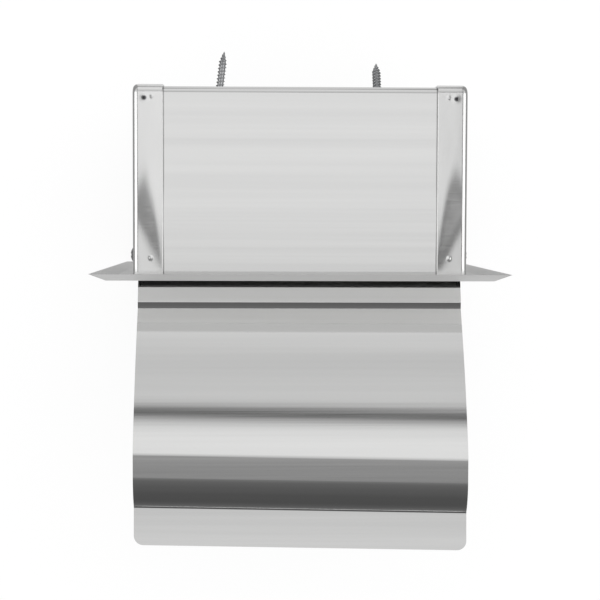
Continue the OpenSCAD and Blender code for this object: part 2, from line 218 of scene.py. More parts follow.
# Studio: (degrees from straight up, level), with the front below 0 and the wall's side above it. The levels
# were found by trial, against the photograph's reflections on the hood and the box
STUDIO = [
    (-180, 1.3), (-120, 1.3), (-100, 1.3), (-91, 0.90), (-86, 0.17), (-78, 0.12), (-70, 0.10), (-50, 0.10),
    (-30, 0.13), (-18, 0.16), (-12, 0.22), (-9, 0.36), (-7.5, 0.50), (-6, 0.70), (-4, 0.79),
    (-1.7, 0.85), (-0.6, 0.97), (14, 0.99), (31, 1.00), (33.5, 0.93), (34.4, 0.80), (35.2, 0.54),
    (36.0, 0.19), (36.8, 0.04), (37.4, 0.17), (38.2, 0.52), (39.2, 0.68), (40.2, 0.77), (52, 0.72),
    (60, 0.94), (82, 0.90), (90, 0.50)]
SIDE_LIGHT = 1.5
THROWN_LIGHT = 1.25
THROWN_DEPTH = 2.5        # a ray with more bounces than this sees only the thrown light
STAND_DARKNESS = 0.92
ROOM_LOW = 0.22           # light of the plain room at the horizon, and higher up
ROOM_HIGH = 0.85
# Where a direction, as a vector of length 1, starts and ends to meet a thing in the room
STAND_STARTS = (0.147, 0.182)
STAND_ENDS = (0.27, 0.31)
ROOM_STARTS = (0.3, 0.42)
SOFT_BOX_DEPTH = (0.45, 0.35)
SOFT_BOX_FOOT = (0.24, 0.34)

# Floor: its places are in metres and its levels are what reflections see
FLOOR_Z = -79.5
FLOOR_REACH = 3.0
FLOOR_WHITE = 0.86        # share of the floor's light that is its own, so that shadows stay faint
PAPER_EDGE = (0.10, 0.13)
PAPER_LIGHT = 0.75
BESIDE_LIGHT = 0.22
CARD_START = (-0.10, -0.16)
CARD_FADE = (-0.35, -0.8)
CARD_LIGHT = 1.25
CARD_SIDES = (0.22, 0.5)
CARD_FAR_LIGHT = 0.35


def make_world():
    world = bpy.data.worlds.new("studio")
    bpy.context.scene.world = world
    world.use_nodes = True
    tree = world.node_tree
    tree.nodes.clear()
    ray = add_node(tree, "ShaderNodeTexCoord")
    axes = add_node(tree, "ShaderNodeSeparateXYZ", {"Vector": ray.outputs["Generated"]})
    angle = add_node(tree, "ShaderNodeMath", {
        0: axes.outputs["Y"], 1: axes.outputs["Z"]}, operation="ARCTAN2")
    share = add_node(tree, "ShaderNodeMapRange", {
        "Value": angle.outputs[0], "From Min": -math.pi, "From Max": math.pi})
    ramp = add_node(tree, "ShaderNodeValToRGB", {"Fac": share.outputs[0]})
    stops = ramp.color_ramp.elements
    while len(stops) < len(STUDIO):
        stops.new(0.5)
    for stop, (degrees, level) in zip(stops, STUDIO):
        stop.position = (degrees + 180) / 360
        stop.color = (level, level, level, 1)

    # A dark stand on each side of the camera
    sideways = add_node(tree, "ShaderNodeMath", {0: axes.outputs["X"]}, operation="ABSOLUTE")
    near_stand = add_node(tree, "ShaderNodeMapRange", {
        "Value": sideways.outputs[0], "From Min": STAND_STARTS[0], "From Max": STAND_STARTS[1]},
        interpolation_type="SMOOTHSTEP")
    past_stand = add_node(tree, "ShaderNodeMapRange", {
        "Value": sideways.outputs[0], "From Min": STAND_ENDS[0], "From Max": STAND_ENDS[1]},
        interpolation_type="SMOOTHSTEP")
    stand = add_node(tree, "ShaderNodeMath", {
        0: near_stand.outputs[0], 1: past_stand.outputs[0]}, operation="SUBTRACT")
    shade = add_node(tree, "ShaderNodeMath", {
        0: stand.outputs[0], 1: -STAND_DARKNESS, 2: 1.0}, operation="MULTIPLY_ADD")
    ahead = add_node(tree, "ShaderNodeVectorMath", {0: ramp.outputs[0]}, operation="SCALE")
    tree.links.new(shade.outputs[0], ahead.inputs["Scale"])

    # Past the stands the room grows lighter from the horizon up, with a tall soft box at each side
    room = add_node(tree, "ShaderNodeMapRange", {
        "Value": axes.outputs["Z"], "From Min": 0.0, "From Max": 0.6,
        "To Min": ROOM_LOW, "To Max": ROOM_HIGH})
    off_centre = add_node(tree, "ShaderNodeMath", {0: axes.outputs["Y"]}, operation="ABSOLUTE")
    within = add_node(tree, "ShaderNodeMapRange", {
        "Value": off_centre.outputs[0], "From Min": SOFT_BOX_DEPTH[0], "From Max": SOFT_BOX_DEPTH[1]},
        interpolation_type="SMOOTHSTEP")
    above = add_node(tree, "ShaderNodeMapRange", {
        "Value": axes.outputs["Z"], "From Min": SOFT_BOX_FOOT[0], "From Max": SOFT_BOX_FOOT[1]},
        interpolation_type="SMOOTHSTEP")
    in_box = add_node(tree, "ShaderNodeMath", {
        0: within.outputs[0], 1: above.outputs[0]}, operation="MULTIPLY")
    side = add_node(tree, "ShaderNodeMix", {
        0: in_box.outputs[0], 2: room.outputs[0], 3: SIDE_LIGHT}, data_type="FLOAT")
    beside = add_node(tree, "ShaderNodeMapRange", {
        "Value": sideways.outputs[0], "From Min": ROOM_STARTS[0], "From Max": ROOM_STARTS[1]},
        interpolation_type="SMOOTHSTEP")
    reflected = add_node(tree, "ShaderNodeMix", {
        0: beside.outputs[0], 6: ahead.outputs[0], 7: side.outputs[0]}, data_type="RGBA")

    # Light that has bounced more than twice comes evenly from the whole room. All but reflections see white
    path = add_node(tree, "ShaderNodeLightPath")
    thrown = add_node(tree, "ShaderNodeMath", {
        0: path.outputs["Ray Depth"], 1: THROWN_DEPTH}, operation="GREATER_THAN")
    reflected = add_node(tree, "ShaderNodeMix", {
        0: thrown.outputs[0], 6: reflected.outputs[2], 7: (THROWN_LIGHT, THROWN_LIGHT, THROWN_LIGHT, 1)},
        data_type="RGBA")
    glossy = add_node(tree, "ShaderNodeMix", {
        0: path.outputs["Is Glossy Ray"], 6: (1, 1, 1, 1), 7: reflected.outputs[2]}, data_type="RGBA")
    background = add_node(tree, "ShaderNodeBackground", {"Color": glossy.outputs[2], "Strength": 1.0})
    add_node(tree, "ShaderNodeOutputWorld", {"Surface": background.outputs[0]})


def white_card():
    """White to the eye. Reflections see a white paper under the holder, a bright card in front of it and
    a dim room beside them."""
    material = bpy.data.materials.new("white_card")
    material.use_nodes = True
    tree = material.node_tree
    tree.nodes.clear()
    card = add_node(tree, "ShaderNodeBsdfDiffuse", {"Color": srgb("#F2F2F2")})
    place = add_node(tree, "ShaderNodeTexCoord")
    axes = add_node(tree, "ShaderNodeSeparateXYZ", {"Vector": place.outputs["Object"]})
    sideways = add_node(tree, "ShaderNodeMath", {0: axes.outputs["X"]}, operation="ABSOLUTE")
    paper = add_node(tree, "ShaderNodeMapRange", {
        "Value": sideways.outputs[0], "From Min": PAPER_EDGE[0], "From Max": PAPER_EDGE[1],
        "To Min": PAPER_LIGHT, "To Max": BESIDE_LIGHT})
    in_front = add_node(tree, "ShaderNodeMapRange", {
        "Value": axes.outputs["Y"], "From Min": CARD_START[0], "From Max": CARD_START[1]})
    front_light = add_node(tree, "ShaderNodeMapRange", {
        "Value": axes.outputs["Y"], "From Min": CARD_FADE[0], "From Max": CARD_FADE[1],
        "To Min": CARD_LIGHT, "To Max": CARD_FAR_LIGHT})
    narrow = add_node(tree, "ShaderNodeMapRange", {
        "Value": sideways.outputs[0], "From Min": CARD_SIDES[0], "From Max": CARD_SIDES[1],
        "To Min": 1.0, "To Max": CARD_FAR_LIGHT})
    front_light = add_node(tree, "ShaderNodeMath", {
        0: front_light.outputs[0], 1: narrow.outputs[0]}, operation="MULTIPLY")
    card_light = add_node(tree, "ShaderNodeMix", {
        0: in_front.outputs[0], 2: paper.outputs[0], 3: front_light.outputs[0]}, data_type="FLOAT")
    path = add_node(tree, "ShaderNodeLightPath")
    level = add_node(tree, "ShaderNodeMix", {
        0: path.outputs["Is Glossy Ray"], 2: 1.0, 3: card_light.outputs[0]}, data_type="FLOAT")
    white = add_node(tree, "ShaderNodeEmission", {"Color": (1, 1, 1, 1), "Strength": level.outputs[0]})
    seen = add_node(tree, "ShaderNodeMath", {
        0: path.outputs["Is Camera Ray"], 1: path.outputs["Is Glossy Ray"]}, operation="MAXIMUM")
    seen = add_node(tree, "ShaderNodeMath", {
        0: seen.outputs[0], 1: path.outputs["Is Transmission Ray"]}, operation="MAXIMUM")
    amount = add_node(tree, "ShaderNodeMath", {0: seen.outputs[0], 1: FLOOR_WHITE}, operation="MULTIPLY")
    mixed = add_node(tree, "ShaderNodeMixShader", {
        0: amount.outputs[0], 1: card.outputs[0], 2: white.outputs[0]})
    add_node(tree, "ShaderNodeOutputMaterial", {"Surface": mixed.outputs[0]})
    return material


def make_floor():
    mesh = bpy.data.meshes.new("floor")
    work = bmesh.new()
    bmesh.ops.create_grid(work, x_segments=1, y_segments=1, size=FLOOR_REACH)
    bmesh.ops.translate(work, verts=work.verts, vec=(0, 0, FLOOR_Z * MM))
    work.to_mesh(mesh)
    work.free()
    floor = bpy.data.objects.new("floor", mesh)
    bpy.context.scene.collection.objects.link(floor)
    mesh.materials.append(white_card())


def make_lamp():
    data = bpy.data.lights.new("overhead", "AREA")
    data.shape = "RECTANGLE"
    data.size = 1.2
    data.size_y = 0.9
    data.energy = 6.0
    lamp = bpy.data.objects.new("overhead", data)
    bpy.context.scene.collection.objects.link(lamp)
    lamp.location = (0.15, 0.25, 1.3)
    lamp.rotation_euler = (Vector((0, 0, 0)) - lamp.location).to_track_quat("-Z", "Y").to_euler()
    lamp.visible_glossy = False


bpy.context.scene.view_settings.view_transform = "Standard"
make_world()
make_floor()
make_lamp()


# Materials
def start_material(name):
    material = bpy.data.materials.new(name)
    material.use_nodes = True
    tree = material.node_tree
    tree.nodes.clear()
    place = add_node(tree, "ShaderNodeTexCoord")
    return material, tree, place.outputs["Object"]


def streaks(tree, place, across, along, turn=(0, 0, 0)):
    """Noise drawn out along X: across and along are the streaks' width and length in millimetres."""
    stretch = add_node(tree, "ShaderNodeMapping", {
        "Vector": place, "Rotation": turn,
        "Scale": (1 / (along * MM), 1 / (across * MM), 1 / (across * MM))})
    return add_node(tree, "ShaderNodeTexNoise", {
        "Vector": stretch.outputs[0], "Scale": 1.0, "Detail": 3.0, "Roughness": 0.6}).outputs["Fac"]


def painted_seam_shade(tree, colour):
    """Paints shade into a colour in the narrow joints where sheets meet, under a millimetre wide: a painted
    shadow from ambient occlusion.
    """
    hollow = add_node(tree, "ShaderNodeAmbientOcclusion", {"Distance": 0.7 * MM}, samples=6)
    unpainted = add_node(tree, "ShaderNodeMapRange", {
        "Value": hollow.outputs["AO"], "From Min": 0.5, "From Max": 0.93, "To Min": 0.12, "To Max": 1.0})
    return add_node(tree, "ShaderNodeMix", {
        0: unpainted.outputs[0], 6: srgb("#1E1E20"), 7: colour}, data_type="RGBA").outputs[2]


def polished_stainless():
    """Polished 304 stainless sheet: a bright mirror, drawn out a little along the polisher's streaks. The
    real streaks are finer than the render's pixels, so they are drawn as coarse as they need to show."""
    material, tree, place = start_material("polished_304_stainless")
    fine = streaks(tree, place, 0.45, 60.0)
    broad = streaks(tree, place, 8.0, 700.0)
    roughness = add_node(tree, "ShaderNodeMapRange", {
        "Value": fine, "From Min": 0.3, "From Max": 0.7, "To Min": 0.055, "To Max": 0.085})
    tint = add_node(tree, "ShaderNodeMix", {
        0: broad, 6: srgb("#CFCFCF"), 7: srgb("#E6E6E5")}, data_type="RGBA")
    # Painted shade, darkening the narrow joints where the sheets meet
    tint = painted_seam_shade(tree, tint.outputs[2])
    waves = add_node(tree, "ShaderNodeBump", {"Height": broad, "Strength": 0.25, "Distance": 0.1 * MM})
    grain = add_node(tree, "ShaderNodeBump", {
        "Height": fine, "Strength": 0.1, "Distance": 0.01 * MM, "Normal": waves.outputs[0]})
    steel = add_node(tree, "ShaderNodeBsdfPrincipled", {
        "Base Color": tint, "Metallic": 1.0, "Roughness": roughness.outputs[0],
        "Normal": grain.outputs[0]})
    add_node(tree, "ShaderNodeOutputMaterial", {"Surface": steel.outputs[0]})
    return material


def pressed_stainless():
    """Pressed stainless pan: the same sheet, buckled a little by the press and the spot welds."""
    material, tree, place = start_material("pressed_304_stainless")
    fine = streaks(tree, place, 0.6, 30.0, (0, 0, math.radians(90)))
    stretch = add_node(tree, "ShaderNodeMapping", {
        "Vector": place, "Scale": (1 / (11 * MM), 1 / (26 * MM), 1 / (30 * MM))})
    buckle = add_node(tree, "ShaderNodeTexNoise", {
        "Vector": stretch.outputs[0], "Scale": 1.0, "Detail": 1.5, "Roughness": 0.4})
    roughness = add_node(tree, "ShaderNodeMapRange", {
        "Value": fine, "From Min": 0.3, "From Max": 0.7, "To Min": 0.16, "To Max": 0.19})
    tint = add_node(tree, "ShaderNodeMix", {
        0: fine, 6: srgb("#E2E2E2"), 7: srgb("#ECECEB")}, data_type="RGBA")
    # The rear weld's dent gets a small painted dark spot, a painted reflection standing in for the dark one
    # in the dent
    at = add_node(tree, "ShaderNodeSeparateXYZ", {"Vector": place})
    across = add_node(tree, "ShaderNodeMath", {0: at.outputs["X"]}, operation="ABSOLUTE")
    spot = add_node(tree, "ShaderNodeCombineXYZ", {"X": across.outputs[0], "Y": at.outputs["Y"]})
    away = add_node(tree, "ShaderNodeVectorMath", {
        0: spot.outputs[0], 1: ((HALF_W - DARK_SPOT_IN) * MM, (BOX_D - DARK_SPOT_BACK) * MM, 0)}, operation="DISTANCE")
    unpainted = add_node(tree, "ShaderNodeMapRange", {
        "Value": away.outputs["Value"], "From Min": 0.5 * MM, "From Max": 1.1 * MM})
    tint = add_node(tree, "ShaderNodeMix", {
        0: unpainted.outputs[0], 6: srgb("#4C4C4E"), 7: tint.outputs[2]}, data_type="RGBA")
    # Painted shade, darkening the narrow joints where the sheets meet
    tint = painted_seam_shade(tree, tint.outputs[2])
    waves = add_node(tree, "ShaderNodeBump", {
        "Height": buckle.outputs["Fac"], "Strength": 0.32, "Distance": 0.3 * MM})
    steel = add_node(tree, "ShaderNodeBsdfPrincipled", {
        "Base Color": tint, "Metallic": 1.0, "Roughness": roughness.outputs[0],
        "Normal": waves.outputs[0]})
    add_node(tree, "ShaderNodeOutputMaterial", {"Surface": steel.outputs[0]})
    return material


def mill_stainless():
    """Inside of the box: the sheet's dull mill finish, never polished, with clouds of about 11 mm. Its
    darker tint is partly that finish and partly painted shade for the enclosed inside.
    """
    material, tree, place = start_material("mill_304_stainless")
    cloud = add_node(tree, "ShaderNodeTexNoise", {"Vector": place, "Scale": 90.0, "Detail": 4.0})
    roughness = add_node(tree, "ShaderNodeMapRange", {
        "Value": cloud.outputs["Fac"], "From Min": 0.3, "From Max": 0.7, "To Min": 0.36, "To Max": 0.46})
    # Darker tint: partly the duller mill finish, partly painted shade inside the box
    tint = add_node(tree, "ShaderNodeMix", {
        0: cloud.outputs["Fac"], 6: srgb("#949494"), 7: srgb("#A8A8A7")}, data_type="RGBA")
    steel = add_node(tree, "ShaderNodeBsdfPrincipled", {
        "Base Color": tint.outputs[2], "Metallic": 1.0, "Roughness": roughness.outputs[0]})
    add_node(tree, "ShaderNodeOutputMaterial", {"Surface": steel.outputs[0]})
    return material


def satin_stainless(name, dull, bright, dark, pale):
    """Satin stainless trim: the belt's fine scratches spread the reflections, more so where it is dull."""
    material, tree, place = start_material(name)
    fine = streaks(tree, place, 0.35, 40.0)
    roughness = add_node(tree, "ShaderNodeMapRange", {
        "Value": fine, "From Min": 0.3, "From Max": 0.7, "To Min": bright, "To Max": dull})
    tint = add_node(tree, "ShaderNodeMix", {0: fine, 6: srgb(dark), 7: srgb(pale)}, data_type="RGBA")
    grain = add_node(tree, "ShaderNodeBump", {"Height": fine, "Strength": 0.3, "Distance": 0.02 * MM})
    steel = add_node(tree, "ShaderNodeBsdfPrincipled", {
        "Base Color": tint.outputs[2], "Metallic": 1.0, "Roughness": roughness.outputs[0],
        "Normal": grain.outputs[0]})
    add_node(tree, "ShaderNodeOutputMaterial", {"Surface": steel.outputs[0]})
    return material


def chrome_plate():
    """Bright chrome on the drawn roller tubes: nearly a mirror, dulled in spots of 6.25 mm by handling."""
    material, tree, place = start_material("bright_chrome_plate")
    spots = add_node(tree, "ShaderNodeTexNoise", {"Vector": place, "Scale": 1 / (6.25 * MM), "Detail": 3.0})
    roughness = add_node(tree, "ShaderNodeMapRange", {
        "Value": spots.outputs["Fac"], "From Min": 0.35, "From Max": 0.75, "To Min": 0.05, "To Max": 0.14})
    tint = add_node(tree, "ShaderNodeMix", {
        0: spots.outputs["Fac"], 6: srgb("#E2E4E6"), 7: srgb("#D8DADC")}, data_type="RGBA")
    metal = add_node(tree, "ShaderNodeBsdfPrincipled", {
        "Base Color": tint.outputs[2], "Metallic": 1.0, "Roughness": roughness.outputs[0]})
    add_node(tree, "ShaderNodeOutputMaterial", {"Surface": metal.outputs[0]})
    return material


def zinc_plate():
    """Zinc-plated steel: greyer than the sheet, with a slightly cloudy shine, in clouds of about 2.4 mm."""
    material, tree, place = start_material("bright_zinc_plate")
    cloud = add_node(tree, "ShaderNodeTexNoise", {"Vector": place, "Scale": 420.0, "Detail": 4.0})
    roughness = add_node(tree, "ShaderNodeMapRange", {
        "Value": cloud.outputs["Fac"], "From Min": 0.3, "From Max": 0.7, "To Min": 0.2, "To Max": 0.36})
    tint = add_node(tree, "ShaderNodeMix", {
        0: cloud.outputs["Fac"], 6: srgb("#8E8F91"), 7: srgb("#B7B8B9")}, data_type="RGBA")
    pits = add_node(tree, "ShaderNodeBump", {
        "Height": cloud.outputs["Fac"], "Strength": 0.2, "Distance": 0.03 * MM})
    metal = add_node(tree, "ShaderNodeBsdfPrincipled", {
        "Base Color": tint.outputs[2], "Metallic": 1.0, "Roughness": roughness.outputs[0],
        "Normal": pits.outputs[0]})
    add_node(tree, "ShaderNodeOutputMaterial", {"Surface": metal.outputs[0]})
    return material


def spring_wire():
    """Drawn spring wire: dark, with an oily sheen that changes every 1.7 mm or so."""
    material, tree, place = start_material("drawn_spring_wire")
    cloud = add_node(tree, "ShaderNodeTexNoise", {"Vector": place, "Scale": 600.0, "Detail": 3.0})
    tint = add_node(tree, "ShaderNodeMix", {
        0: cloud.outputs["Fac"], 6: srgb("#6E6E70"), 7: srgb("#8E8E90")}, data_type="RGBA")
    metal = add_node(tree, "ShaderNodeBsdfPrincipled", {
        "Base Color": tint.outputs[2], "Metallic": 1.0, "Roughness": 0.32})
    add_node(tree, "ShaderNodeOutputMaterial", {"Surface": metal.outputs[0]})
    return material


def natural_nylon():
    """Natural nylon washer: milky, with the soft sheen of a moulding and faint clouds of about 3.3 mm."""
    material, tree, place = start_material("natural_nylon")
    cloud = add_node(tree, "ShaderNodeTexNoise", {"Vector": place, "Scale": 300.0, "Detail": 3.0})
    tint = add_node(tree, "ShaderNodeMix", {
        0: cloud.outputs["Fac"], 6: srgb("#DDD8C8"), 7: srgb("#E9E5D8")}, data_type="RGBA")
    plastic = add_node(tree, "ShaderNodeBsdfPrincipled", {
        "Base Color": tint.outputs[2], "Roughness": 0.45, "IOR": 1.53})
    add_node(tree, "ShaderNodeOutputMaterial", {"Surface": plastic.outputs[0]})
    return material


POLISHED = polished_stainless()
PRESSED = pressed_stainless()
MILL = mill_stainless()
SATIN = satin_stainless("satin_304_stainless", 0.52, 0.42, "#BFBFBF", "#CACAC9")
GRAINED = satin_stainless("grained_304_stainless", 0.88, 0.76, "#E4E4E4", "#EEEEED")
CHROME = chrome_plate()
ZINC = zinc_plate()
WIRE = spring_wire()
NYLON = natural_nylon()


# Meshes
def finish_piece(work, name, body, nodes, material, sheet=0.0, rim=0.1, sharp=40):
    """Turns a bmesh in millimetres into a piece that rides on a body and stands for CAD nodes.
    A sheet's middle surface gets its thickness here, and its cut edges a small radius."""
    bmesh.ops.remove_doubles(work, verts=work.verts, dist=1e-4)
    bmesh.ops.recalc_face_normals(work, faces=work.faces)
    bmesh.ops.scale(work, verts=work.verts, vec=(MM, MM, MM))
    for face in work.faces:
        face.smooth = True
    mesh = bpy.data.meshes.new(name)
    work.to_mesh(mesh)
    work.free()
    mesh.materials.append(material)
    piece = bpy.data.objects.new(name, mesh)
    bpy.context.scene.collection.objects.link(piece)
    if sheet:
        wall = piece.modifiers.new("sheet", "SOLIDIFY")
        wall.thickness = sheet * MM
        wall.offset = 0
        wall.use_even_offset = True
        wall.use_quality_normals = True
    if rim:
        edge = piece.modifiers.new("rim", "BEVEL")
        edge.width = rim * MM
        edge.segments = 2
        edge.limit_method = "ANGLE"
        edge.angle_limit = math.radians(sharp)
        edge.use_clamp_overlap = True
    shading = piece.modifiers.new("shading", "WEIGHTED_NORMAL")
    shading.weight = 80
    shading.keep_sharp = True
    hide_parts(*nodes)
    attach(piece, body)
    return piece


def step(pose, stretch):
    """Pose (y, z, heading) at the end of one stretch of a section's path."""
    y, z, heading = pose
    radius, amount = stretch
    if radius == 0:
        return y + amount * math.cos(heading), z + amount * math.sin(heading), heading
    after = heading + math.radians(amount)
    signed = math.copysign(radius, amount)
    return (y + signed * (math.sin(after) - math.sin(heading)),
            z - signed * (math.cos(after) - math.cos(heading)), after)


def follow(path, start, finest=1.5):
    """Poses along a path, with a step of at most `finest` degrees on its bends."""
    found = [start]
    for radius, amount in path:
        count = 1 if radius == 0 else math.ceil(abs(amount) / finest)
        for k in range(1, count + 1):
            found.append(step(start, (radius, amount * k / count)))
        start = found[-1]
    return found


def chain(work, points):
    """Edges through a row of points."""
    verts = [work.verts.new(p) for p in points]
    return [work.edges.new(pair) for pair in zip(verts, verts[1:])]


def drawn(work, edges, run, steps=1):
    """Draws edges out along a run in some steps, and gives the last edges."""
    for _ in range(steps):
        new = bmesh.ops.extrude_edge_only(work, edges=edges)["geom"]
        verts = [g for g in new if isinstance(g, bmesh.types.BMVert)]
        bmesh.ops.translate(work, verts=verts, vec=Vector(run) / steps)
        edges = [g for g in new if isinstance(g, bmesh.types.BMEdge)
                 and all(v in verts for v in g.verts)]
    return edges


def swept(work, edges, centre, axis, degrees, steps):
    """Turns edges about an axis, and gives the last edges."""
    last = bmesh.ops.spin(work, geom=edges, cent=centre, axis=axis,
                          angle=math.radians(degrees), steps=steps)
    return [g for g in last["geom_last"] if isinstance(g, bmesh.types.BMEdge)]


# Hood, in its own section: the pivot is the origin and its first axis runs out from the wall
def hood_points(poses):
    return [Vector((-HOOD_HALF, PIVOT_Y - y, PIVOT_Z + z)) for y, z, _ in poses]


def make_hood():
    work = bmesh.new()
    slope = math.radians(BAND_SLOPE)
    start = (-BAND_BACK * math.cos(slope) - EAR_DROP * math.sin(slope),
             -BAND_BACK * math.sin(slope) + EAR_DROP * math.cos(slope), slope)
    hinge_side = follow(HINGE_SIDE + [[0, PANEL_LEN / 2]], start)
    panel = hinge_side[-2]
    rolled_side = follow([[0, PANEL_LEN]] + ROLLED_SIDE, panel)

    # The rolled side is drawn wider, turned by the skew about the panel's normal, and trimmed
    along = Vector((0, -math.cos(panel[2]), math.sin(panel[2])))
    outward = Vector((0, math.sin(panel[2]), math.cos(panel[2])))
    corner = Vector((0, PIVOT_Y - panel[0], PIVOT_Z + panel[1]))
    spare = 0.1 * HOOD_HALF
    edges = chain(work, [p - Vector((spare, 0, 0)) for p in hood_points(rolled_side)])
    drawn(work, edges, (2 * (HOOD_HALF + spare), 0, 0))
    bmesh.ops.rotate(work, verts=work.verts, cent=corner,
                     matrix=Matrix.Rotation(math.radians(-ROLL_SKEW), 3, outward))
    cuts = [(Vector((-HOOD_HALF, 0, 0)), Vector((-1, 0, 0))),
            (Vector((HOOD_HALF, 0, 0)), Vector((1, 0, 0))),
            (corner + along * PANEL_LEN / 2, -along)]
    for place, normal in cuts:
        bmesh.ops.bisect_plane(work, geom=list(work.verts) + list(work.edges) + list(work.faces),
                               dist=1e-5, plane_co=place, plane_no=normal, clear_outer=True)
    # Of the sheet's corners, the two at the lip are rounded
    tips = [v for v in work.verts if len(v.link_edges) == 2]
    far = max((v.co - corner).dot(along) for v in tips)
    tips = [v for v in tips if (v.co - corner).dot(along) > far - 4]
    bmesh.ops.bevel(work, geom=tips, offset=LIP_CORNER_R, affect="VERTICES", segments=8,
                    profile=0.5, material=-1)

    # The hinge side is drawn square, and both meet in the middle of the panel
    drawn(work, chain(work, hood_points(hinge_side)), (2 * HOOD_HALF, 0, 0))
    bmesh.ops.remove_doubles(work, verts=work.verts, dist=1e-3)
    return finish_piece(work, "hood_sheet", "hood", ["hood"], POLISHED,
                        SHEET, rim=0.12)


def make_ear(side):
    """Ear at one side of the hood: a rounded plate that hangs from the band, with the pivot's hole."""
    work = bmesh.new()
    x = side * (HOOD_HALF - SHEET / 2)
    outline = [Vector((0, math.cos(a), math.sin(a))) * EAR_R
               for a in (math.radians(180 + 180 * k / 24) for k in range(25))]
    top = EAR_DROP - SHEET / 2
    outline += [Vector((0, EAR_LEN, top - SHEET)), Vector((0, EAR_LEN, top)), Vector((0, -EAR_R, top))]
    rim = [work.verts.new(p) for p in outline]
    ring = [work.edges.new(pair) for pair in zip(rim, rim[1:] + rim[:1])]
    hole = bmesh.ops.create_circle(work, segments=32, radius=PIVOT_D / 2 + PIVOT_GAP,
                                   matrix=Matrix.Rotation(math.radians(90), 4, "Y"))["verts"]
    ring += list({e for v in hole for e in v.link_edges})
    bmesh.ops.triangle_fill(work, use_beauty=True, edges=ring)
    bmesh.ops.rotate(work, verts=work.verts, matrix=Matrix.Rotation(math.radians(BAND_SLOPE), 3, "X"))
    bmesh.ops.scale(work, verts=work.verts, vec=(1, -1, 1))
    bmesh.ops.translate(work, verts=work.verts, vec=(x, PIVOT_Y, PIVOT_Z))
    name = "left_ear" if side < 0 else "right_ear"
    return finish_piece(work, name, "hood", ["hood"], POLISHED, SHEET, rim=0.1)


# Wrap sheet: back, top and bottom of the box in one, with two slots for the wood screws
def slot_loop(work, x, y, z):
    """Edges round an upright slot with round ends, in the plane of the back."""
    straight = (SLOT_H - SLOT_W) / 2
    points = []
    for k in range(25):
        a = math.radians(180 * k / 24)
        points.append(Vector((SLOT_W / 2 * math.cos(a), 0, straight + SLOT_W / 2 * math.sin(a))))
    points += [Vector((-p.x, 0, -p.z)) for p in points]
    verts = [work.verts.new(p + Vector((x, y, z))) for p in points]
    return [work.edges.new(pair) for pair in zip(verts, verts[1:] + verts[:1])]


def make_wrap_sheet():
    work = bmesh.new()
    half = HALF_W - FOLD_R - WRAP_PLAY
    mid_top = HALF_H - 1.5 * SHEET
    mid_back = BOX_D - 1.5 * SHEET
    bend = CORNER_R - 1.5 * SHEET
    for side in (1, -1):
        run = follow([[0, mid_back - bend - BOX_FRONT], [bend, -90]], (BOX_FRONT, mid_top, 0), 5)
        edges = chain(work, [Vector((-half, y, side * z)) for y, z, _ in run])
        drawn(work, edges, (2 * half, 0, 0))
    height = mid_top - bend
    frame_points = [(-half, -height), (half, -height), (half, height), (-half, height)]
    verts = [work.verts.new((x, mid_back, z)) for x, z in frame_points]
    ring = [work.edges.new(pair) for pair in zip(verts, verts[1:] + verts[:1])]
    for x in (-SLOT_X, SLOT_X):
        ring += slot_loop(work, x, mid_back, SLOT_Z)
    bmesh.ops.triangle_fill(work, use_beauty=True, edges=ring)
    piece = finish_piece(work, "wrap_sheet_piece", "recess_box", ["wrap_sheet"],
                         POLISHED, SHEET, rim=0.1)
    piece.data.materials.append(MILL)
    piece.modifiers["sheet"].material_offset = 1
    return piece


# Side plates: a web and flanges in one pressing, wavy between the spot welds
def soft_step(value):
    share = min(max(value, 0.0), 1.0)
    return share * share * (3 - 2 * share)


def sprung(x, run):
    """Share of its full tilt that the flange has at a place: x across it and run along it."""
    front = soft_step((run - FRONT_HELD + FRONT_SLANT * (x - WELD_IN)) / FRONT_EASE)
    rear = soft_step((REAR_HELD - REAR_BOW * (x - CREST_IN) ** 2 - run) / REAR_EASE)
    return front * rear


def lift(x, run, steps=10):
    """How far the flange has sprung off the sheet under it, added up from the fold."""
    width = (x - FOLD_R) / steps
    return FLANGE_TILT * width * sum(sprung(FOLD_R + width * (k + 0.5), run) for k in range(steps))


def pressed_in(x, run, welds):
    """How far the welds press the flange's face in, at a place along it."""
    deep = 0.0
    for weld_x, weld_run, diameter, depth in welds:
        away = math.hypot(x - weld_x, run - weld_run) / (diameter / 2)
        if away < 1:
            deep += depth * (1 - away * away) ** 1.5
    return deep


